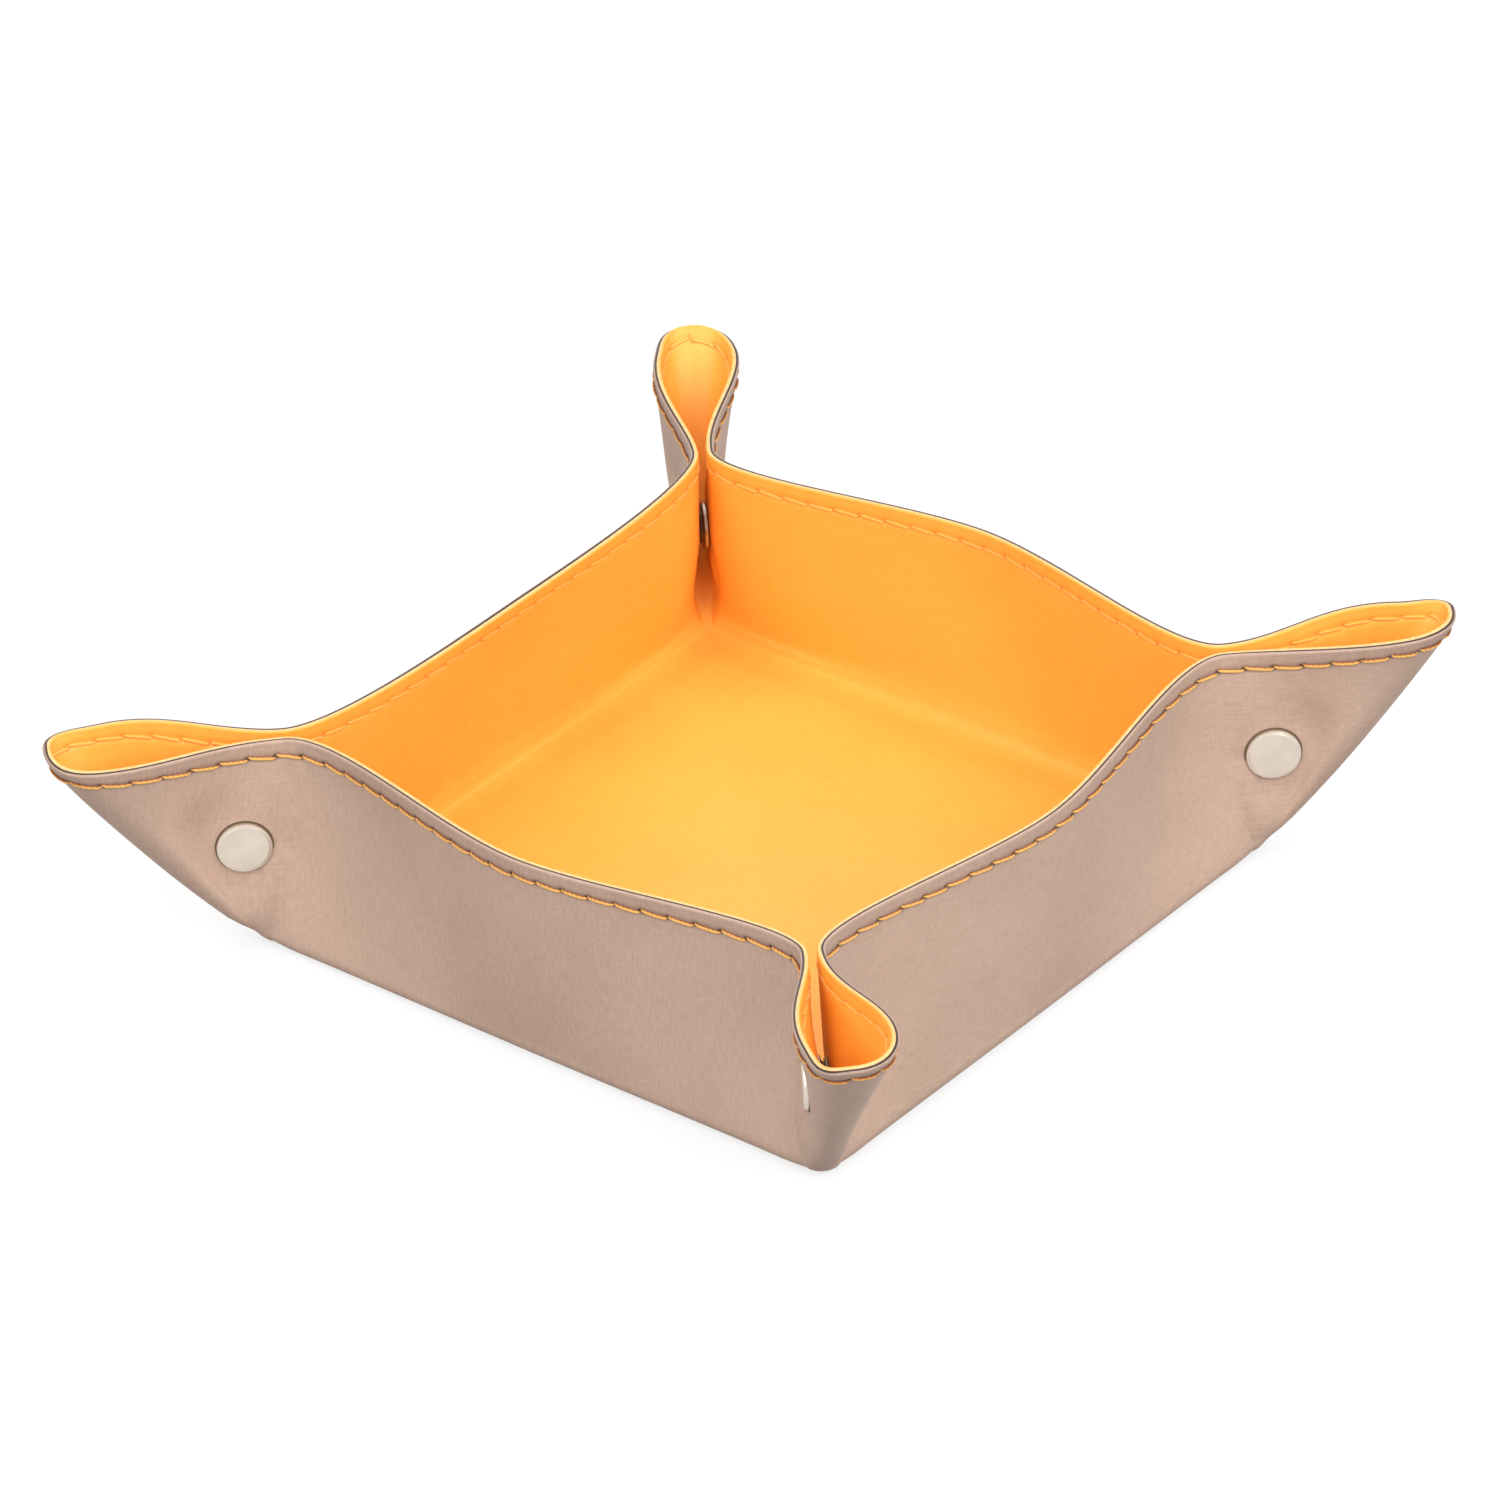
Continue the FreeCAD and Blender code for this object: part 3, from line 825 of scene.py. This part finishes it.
def thread(name, dark, light):
    """Twisted thread, striped along its twist and flecked, with painted light on its crown and painted shade
    down its sides; here flat holds the distance along it and the angle round it.
    """
    strands, twist_per_mm = 2.0, 7.5
    m = Nodes(name, Specular_IOR_Level=0.35, Sheen_Weight=0.2)
    place = m.add("ShaderNodeSeparateXYZ", {"Vector": m.flat(scale=(1, 1, 1))}).outputs
    turned = m.math("MULTIPLY", place["Y"], strands)
    twist = m.math("ADD", m.math("MULTIPLY", place["X"], twist_per_mm), turned)
    strand = m.range(m.math("SINE", twist, 0.0), low=0.0, high=1.0)
    fuzz = m.noise(m.flat(scale=(9, 3, 1)), detail=2)
    # painted light on the crown of the thread and painted shade down its sides
    crown = m.range(m.math("SINE", place["Y"], 0.0), low=-0.35, high=1.0)
    twist_and_fuzz = m.math("ADD", m.math("MULTIPLY", strand, 0.2), m.math("MULTIPLY", fuzz, 0.4))
    colour = m.ramp(m.math("ADD", twist_and_fuzz, m.math("MULTIPLY", crown, 0.5)), (0.3, dark), (0.75, light))
    m.link(colour, "Base Color")
    m.link(m.range(fuzz, low=0.5, high=0.72), "Roughness")
    m.bump(strand, strength=0.2, distance=0.00005)
    return m.material


def steel(name, roughness, darker):
    """Satin nickel, finely brushed; darker is taken off its screen colours."""
    m = Nodes(name, Metallic=1.0)
    brush = m.noise(m.object(scale=(2600, 2600, 260)), detail=2)
    cloud = m.noise(m.object(scale=(160, 160, 160)), detail=2)
    dark, light = (srgb(*(tone - darker for tone in tones)) for tones in ((206, 193, 178), (220, 207, 192)))
    m.link(m.ramp(cloud, (0.3, dark), (0.7, light)), "Base Color")
    m.link(m.range(brush, low=roughness - 0.05, high=roughness + 0.07), "Roughness")
    m.bump(brush, strength=0.05, distance=0.00005)
    return m.material


def fibreboard():
    """Grey-brown pressed board."""
    m = Nodes("fibreboard", Specular_IOR_Level=0.2)
    fibre = m.noise(m.object(scale=(900, 900, 300)), detail=5, roughness=0.7)
    m.link(m.ramp(fibre, (0.3, srgb(122, 104, 84)), (0.7, srgb(158, 138, 112))), "Base Color")
    m.link(m.range(fibre, low=0.75, high=0.95), "Roughness")
    m.bump(fibre, strength=0.3, distance=0.0002)
    return m.material


OUTER = outer_leather()
LINER = liner_leather()
EDGE_PAINT = plain_leather("edge_paint", srgb(34, 23, 19), srgb(52, 37, 31), roughness=0.46)
CUT_EDGE = plain_leather("cut_edge", srgb(240, 180, 112), srgb(252, 202, 142), roughness=0.6)
OUTER_THREAD = thread("outer_thread", srgb(166, 92, 36), srgb(255, 196, 104))
INNER_THREAD = thread("inner_thread", srgb(236, 158, 62), srgb(252, 186, 84))
CAP_STEEL = steel("cap_steel", roughness=0.3, darker=0)
# painted shade for the foot of the caps
CAP_SHADE = steel("cap_shade", roughness=0.5, darker=110)
SNAP_STEEL = steel("snap_steel", roughness=0.34, darker=40)
LAYERS = {"outer": (OUTER, EDGE_PAINT, OUTER_THREAD), "liner": (LINER, CUT_EDGE, INNER_THREAD)}


# walls and ears
def piece_rows(wall, s, lowest):
    """Rows from t = lowest, which is T_BASE or T_WALL, up to the rim."""
    near = wall.rows(s, RIM_DEPTHS)
    shares = np.linspace(0, 1, WALL_ROWS, endpoint=False)
    middle = T_WALL + (near[:, :1] - T_WALL) * shares[None, :]
    fold = np.linspace(lowest, T_WALL, FOLD_ROWS * (T_WALL - lowest), endpoint=False)
    return np.concatenate([np.repeat(fold[None, :], len(s), axis=0), middle, near], axis=1)


def columns(wall, start, end):
    """Columns between two cuts, evenly spaced along the stitch line."""
    low, high = wall.arc(np.array([start, end]))
    return wall.s_at(np.linspace(low, high, max(int((high - low) / COLUMN_STEP), LEAST_COLUMNS)))


def put(obj, nodes, ride=None, blend=None):
    """Hide the parts that a piece stands for; then bake its place into its mesh if it is blended, or else
    hang it on the body it rides with.
    """
    if nodes:
        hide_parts(*nodes)
    if blend:
        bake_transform(obj)
    else:
        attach(obj, ride)


def as_metres(point):
    return tuple(float(v) * MM for v in point)


def cut_line(wall, s, t_values, layer="bond"):
    """Points at one s and several t."""
    return wall.world(wall.skin(np.array([float(s)]), np.array([t_values], dtype=float), layer)[0])


def fold_blend(wall, layer):
    """Blend through the lower half of the bottom fold; from its middle up the sheet goes with the wall."""
    low, high = cut_line(wall, 0, [T_BASE, T_FOLD], layer)
    way = unit((high - low) * np.array([1, 1, 0])) + np.array([0, 0, FOLD_RISE_SHARE])
    high = low + way * ((high - low) @ way) / (way @ way)
    return ("base", f"wall_{wall.name}", as_metres(low), as_metres(high))


def crease_blend(wall, end):
    """Blend from wall to flap in a narrow band: past the crease at its foot, and before the cap higher up."""
    side = ENDS[end]
    outward = wall.world_way(diagonal * np.array([side, 1, 1]))
    foot, high = cut_line(wall, side * S_CREASE, [T_WALL, CREASE_HIGH_T])
    tilt = ((foot - high) @ outward + CREASE_BEFORE) / (high - foot)[2]
    way = outward + np.array([0, 0, tilt])
    stop = foot + way * CREASE_BAND / (way @ way)
    return (f"wall_{wall.name}", f"flap_{wall.name}_{end}", as_metres(foot), as_metres(stop))


def nose_blend(wall, end):
    """Blend from flap to tip, from past the whole cut between them to past the bulge at the rim."""
    side = ENDS[end]
    cut = cut_line(wall, side * NOSE_S, np.linspace(T_WALL, T_RIM, WALL_ROWS))
    foot = cut[0]
    steps = (-NOSE_STEP_S, 0, NOSE_STEP_S)
    near, top, far = (cut_line(wall, side * (S_BULGE + step), [T_RIM])[0] for step in steps)
    rim = unit(far - near)
    line = unit(top - rim * NOSE_BEFORE - foot)
    way = unit(rim - line * (rim @ line))
    start = foot + way * ((cut - foot) @ way).max()
    stop = foot + way * (NOSE_BEFORE + NOSE_AFTER) * (rim @ way)
    return (f"flap_{wall.name}_{end}", f"tip_{wall.name}_{end}", as_metres(start), as_metres(stop))


def dress_sheet(wall, name, cuts, lowest, blends, node):
    """Both layers and both rows of stitches between two cuts."""
    s = columns(wall, *sorted(cuts))
    t = piece_rows(wall, s, lowest)
    low, high = wall.arc(np.array(sorted(cuts))) / wall.pitch
    numbers = [n for n in range(-wall.stitches, wall.stitches) if low <= n + 0.5 < high]
    for layer, (face, edge, thread_material) in LAYERS.items():
        obj = sheet_piece(f"{name}_{layer}_sheet", wall, s, t, layer, [face, edge])
        put(obj, [f"{node}_{layer}"], blend=blends[layer])
        if numbers:
            obj = stitch_piece(f"{name}_{layer}_stitches", wall, numbers, layer, thread_material)
            put(obj, [], blend=blends[layer])


def dress_foot(wall, name, cuts, lowest, blends, node):
    """Both layers of a piece of the bottom fold."""
    s = columns(wall, *sorted(cuts))
    t = np.repeat(np.linspace(lowest, lowest + 1, FOLD_ROWS + 1)[None, :], len(s), axis=0)
    for layer, (face, _, _) in LAYERS.items():
        obj = sheet_piece(f"{name}_{layer}_sheet", wall, s, t, layer, [face, face])
        put(obj, [f"{node}_{layer}"], blend=blends[layer])


def dress_wall(wall):
    """All the sheet of one wall, from the edge of the flat base out to the ears' ridges."""
    name = wall.name
    fold = {layer: fold_blend(wall, layer) for layer in LAYERS}
    dress_sheet(wall, f"{name}_wall", (-STRIP_S, STRIP_S), T_BASE, fold, name)
    for end, side in ENDS.items():
        crease, nose = (dict.fromkeys(LAYERS, blend(wall, end)) for blend in (crease_blend, nose_blend))
        strip, crease_s, nose_s, tip = (side * s for s in (STRIP_S, S_CREASE, NOSE_S, S_TIP))
        flap = f"{name}_flap_{end}"
        dress_sheet(wall, f"{name}_crease_{end}", (strip, crease_s), T_WALL, crease, name)
        dress_sheet(wall, flap, (crease_s, nose_s), T_WALL, crease, flap)
        dress_sheet(wall, f"{name}_tip_{end}", (nose_s, tip), T_WALL, nose, f"{name}_tip_{end}")
        dress_foot(wall, f"{name}_corner_{end}", (strip, tip), T_BASE, fold, "base")
        dress_foot(wall, f"{name}_crease_foot_{end}", (strip, crease_s), T_FOLD, crease, name)
        dress_foot(wall, f"{name}_flap_foot_{end}", (crease_s, tip), T_FOLD, crease, flap)


# base, with flat sheets over the board
def base_lines():
    """Grid lines of the base, closer where the lining comes down from the board."""
    ramp = flat_half - BOARD_RAMP
    steps = np.concatenate([np.linspace(0, ramp, BASE_STEPS), np.linspace(ramp, flat_half, RAMP_STEPS)[1:]])
    return np.concatenate([-steps[:0:-1], steps])


def base_sheet(name, layer, face):
    """Closed flat piece of one layer inside the bottom folds."""
    lines = base_lines()
    x, y = np.meshgrid(lines, lines, indexing="ij")
    inside = flat_half - np.maximum(np.abs(x), np.abs(y))
    bonded = np.full_like(x, OUTER_THICK)
    height = np.zeros_like(x)
    if layer == "liner":
        height = bonded + LINER_THICK + BOARD_SHOW * smooth(inside / BOARD_RAMP) + fold_fill(-inside)
    lift = corner_lift((np.abs(x) + np.abs(y) - 2 * bond_half) / math.sqrt(2), bonded)
    points = np.concatenate([np.stack([x, y, z + lift], axis=-1).reshape(-1, 3) for z in (height, bonded)])
    faces = np.concatenate(slab_faces(len(lines), len(lines), layer == "liner"))
    obj = make_object(name, points, faces, [face], flat=points * np.array([1, 1, 0]))
    obj.data.set_sharp_from_angle(angle=math.radians(BASE_SHARP_DEG))
    return obj


def dress_base():
    for layer, (face, _, _) in LAYERS.items():
        put(base_sheet(f"base_{layer}_sheet", layer, face), [f"base_{layer}"], ride="base")


# snaps
def turned_outline(shares, radius, start, length):
    """Outline of a turned piece from shares of a radius and of a length along its axis."""
    return [(wide * radius, start + far * length) for wide, far in shares]


def dress_snaps(wall):
    """Caps, socket and stud, on axes straight out of the flat stretch of each ear half."""
    face = snap_half_gap + OUTER_THICK + FIT
    back = snap_half_gap - LINER_THICK - FIT
    post = [(POST_R, face), (POST_R, back), (0, back)]
    cap = turned_outline(CAP_SHARES, CAP_R, face, CAP_THICK) + post
    socket = turned_outline(SOCKET_SHARES, SOCKET_R, back, -SOCKET_THICK)
    socket += turned_outline(BORE_SHARES, SOCKET_BORE_R, back, -SOCKET_THICK)
    stud = turned_outline(STUD_SHARES, STUD_R, back, -STUD_THICK)
    stud += turned_outline(NUB_SHARES, STUD_NUB_R, back - STUD_THICK, -STUD_NUB_LENGTH)
    inner = {"left": (f"{wall.name}_stud", stud), "right": (f"{wall.name}_socket", socket)}
    for end, side in ENDS.items():
        mirror = np.array([side, 1, 1])
        centre = wall.world(ear_point(SNAP_E, 0, SNAP_Z) * mirror)
        axis = wall.world_way(across * mirror)
        for node, profile, steels, dark_bands, slot in (
                (f"{wall.name}_cap_{end}", cap, [CAP_STEEL, CAP_SHADE], CAP_FOOT_BANDS, "cap"),
                (*inner[end], [SNAP_STEEL], (), "snap")):
            obj = revolve_piece(f"{node}_turned", profile, centre, axis, steels, dark_bands)
            put(obj, [node], ride=f"flap_{wall.name}_{end}")


# floor, light and camera
def stand(name, data, axes, place):
    """Put a camera or a lamp in the scene by its right, up and back axes and its place in metres."""
    obj = bpy.data.objects.new(name, data)
    obj.matrix_world = Matrix([*np.stack([*axes, place], axis=-1).tolist(), [0, 0, 0, 1]])
    bpy.context.scene.collection.objects.link(obj)
    return obj


def make_camera():
    """The photo's camera, aimed so that the frame's origin falls on its pixel."""
    a, e, r = (math.radians(v) for v in (CAMERA_AZIMUTH, CAMERA_ELEVATION, CAMERA_ROLL))
    back = np.array([math.sin(a) * math.cos(e), -math.cos(a) * math.cos(e), math.sin(e)])
    right = np.array([math.cos(a), math.sin(a), 0])
    up = np.cross(back, right)
    right, up = right * math.cos(r) - up * math.sin(r), right * math.sin(r) + up * math.cos(r)
    middle = PHOTO_PIXELS / 2
    aside = (middle - ORIGIN_PIXEL[0]) / CAMERA_FOCAL_PIXELS
    above = (ORIGIN_PIXEL[1] - middle) / CAMERA_FOCAL_PIXELS
    look = unit(-back + right * aside + up * above)
    right = unit(right - look * (right @ look))
    data = bpy.data.cameras.new("photo_camera")
    data.sensor_width = SENSOR_MM
    data.lens = SENSOR_MM * CAMERA_FOCAL_PIXELS / PHOTO_PIXELS
    data.clip_start, data.clip_end = CAMERA_CLIP_M
    axes = (right, np.cross(right, look), -look)
    bpy.context.scene.camera = stand("photo_camera", data, axes, back * CAMERA_DISTANCE * MM)


def grey(level):
    return (level, level, level, 1)


def greater(tree, a, b):
    return add_node(tree, "ShaderNodeMath", {0: a, 1: b}, operation="MAXIMUM").outputs[0]


def seen_and_path(tree):
    """1 for rays from the camera or a glossy face, which see floor and room white; and every kind of ray."""
    path = add_node(tree, "ShaderNodeLightPath").outputs
    return greater(tree, path["Is Camera Ray"], path["Is Glossy Ray"]), path


def make_floor():
    corners = [(x * FLOOR_HALF, y * FLOOR_HALF, -FLOOR_DROP) for x, y in ((-1, -1), (1, -1), (1, 1), (-1, 1))]
    mesh = bpy.data.meshes.new("floor")
    mesh.from_pydata(corners, [], [(0, 1, 2, 3)])
    floor = bpy.data.objects.new("floor", mesh)
    bpy.context.scene.collection.objects.link(floor)
    material = bpy.data.materials.new("floor_white")
    material.use_nodes = True
    tree = material.node_tree
    tree.nodes.clear()
    seen, path = seen_and_path(tree)
    seen = greater(tree, seen, path["Is Transmission Ray"])
    lit = add_node(tree, "ShaderNodeBsdfDiffuse", {"Color": grey(FLOOR_LIT_GREY)})
    pale = add_node(tree, "ShaderNodeBsdfDiffuse", {"Color": grey(FLOOR_SEEN_GREY)})
    glow = add_node(tree, "ShaderNodeEmission", {"Strength": FLOOR_GLOW})
    white = add_node(tree, "ShaderNodeAddShader", {0: pale.outputs[0], 1: glow.outputs[0]})
    mix = add_node(tree, "ShaderNodeMixShader", {0: seen, 1: lit.outputs[0], 2: white.outputs[0]})
    add_node(tree, "ShaderNodeOutputMaterial", {"Surface": mix.outputs[0]})
    mesh.materials.append(material)


def make_world():
    world = bpy.data.worlds.new("studio")
    world.use_nodes = True
    bpy.context.scene.world = world
    tree = world.node_tree
    tree.nodes.clear()
    seen, _ = seen_and_path(tree)
    room, white = (add_node(tree, "ShaderNodeBackground", {"Color": grey(1), "Strength": strength}).outputs[0]
                   for strength in (ROOM_LIGHT, ROOM_SEEN))
    mix = add_node(tree, "ShaderNodeMixShader", {0: seen, 1: room, 2: white})
    add_node(tree, "ShaderNodeOutputWorld", {"Surface": mix.outputs[0]})


def make_lamp(name, place, target, side, watts):
    """Square lamp that faces its target; one that hangs almost straight above is squared up with +Y."""
    data = bpy.data.lights.new(name, "AREA")
    data.shape = "SQUARE"
    data.size = side
    data.energy = watts
    back = unit(np.array(place) - np.array(target))
    upward = np.array([0, 0, 1.0]) if abs(back[2]) < LAMP_STEEP_SHARE else np.array([0, 1.0, 0])
    right = unit(np.cross(upward, back))
    stand(name, data, (right, np.cross(back, right), back), place)


dress_base()
tray_walls = [Wall(name) for name in WALLS]
for tray_wall in tray_walls:
    dress_wall(tray_wall)
for tray_wall in tray_walls:
    dress_snaps(tray_wall)
board = bpy.data.objects["base_board"].data
board.materials.clear()
board.materials.append(fibreboard())

make_camera()
make_floor()
make_world()
for lamp_name, lamp_values in LAMPS.items():
    make_lamp(lamp_name, *lamp_values)
bpy.context.scene.view_settings.view_transform = "Standard"
